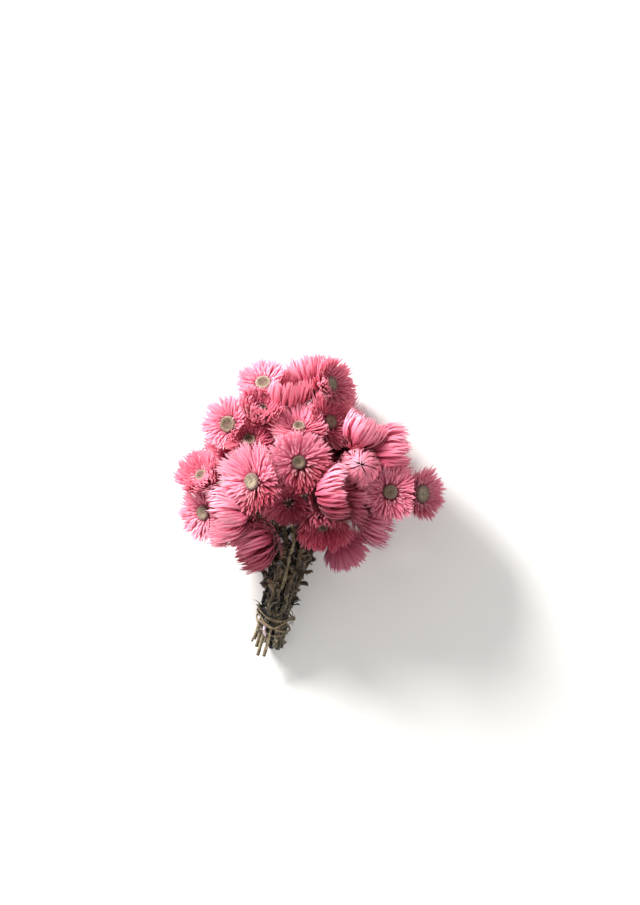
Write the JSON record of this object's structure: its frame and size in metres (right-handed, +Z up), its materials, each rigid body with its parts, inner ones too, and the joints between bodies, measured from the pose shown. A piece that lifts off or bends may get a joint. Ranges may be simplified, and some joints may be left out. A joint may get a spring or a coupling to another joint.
{
  "type": "dried cape flower bunch",
  "caption": "Hand-tied bunch of dried pink Cape everlasting flowers with woolly leafy stems, lying on its side.",
  "frame": {"origin": "on the surface that the bunch lies on, under the middle of its bounding box", "axes": "+Z up from the surface, +Y from the cut stem ends towards the blooms, +X to the right seen from above"},
  "size_m": [0.2756, 0.3072, 0.1531],
  "materials": {
    "bracts": "satin",
    "disc": "matte",
    "stem": "matte",
    "tie": "matte"
  },
  "bodies": {
    "root": {"bloom_01": "bracts", "bloom_02": "bracts", "bloom_03": "bracts", "bloom_04": "bracts", "bloom_05": "bracts", "bloom_06": "bracts", "bloom_07": "bracts", "bloom_08": "bracts", "bloom_09": "bracts", "bloom_10": "bracts", "bloom_11": "bracts", "bloom_12": "bracts", "bloom_13": "bracts", "bloom_14": "bracts", "bloom_15": "bracts", "bloom_16": "bracts", "bloom_17": "bracts", "bloom_18": "bracts", "bloom_19": "bracts", "bloom_20": "bracts", "bloom_21": "bracts", "bloom_22": "bracts", "bloom_23": "bracts", "bloom_24": "bracts", "bloom_25": "bracts", "bloom_26": "bracts", "bloom_27": "bracts", "bloom_28": "bracts", "bloom_29": "bracts", "bloom_30": "bracts", "bloom_31": "bracts", "bloom_32": "bracts", "bloom_33": "bracts", "bloom_34": "bracts", "bloom_35": "bracts", "disc_01": "disc", "disc_03": "disc", "disc_04": "disc", "disc_05": "disc", "disc_06": "disc", "disc_07": "disc", "disc_08": "disc", "disc_09": "disc", "disc_10": "disc", "disc_13": "disc", "disc_15": "disc", "disc_16": "disc", "disc_20": "disc", "disc_21": "disc", "disc_24": "disc", "stem_top": "stem", "stem_upper_left": "stem", "stem_left": "stem", "stem_back": "stem", "stem_right": "stem", "stem_low_right": "stem", "stem_back_right": "stem", "stem_under_left": "stem", "stem_under_right": "stem", "tie": "tie"}
  },
  "joints": []
}
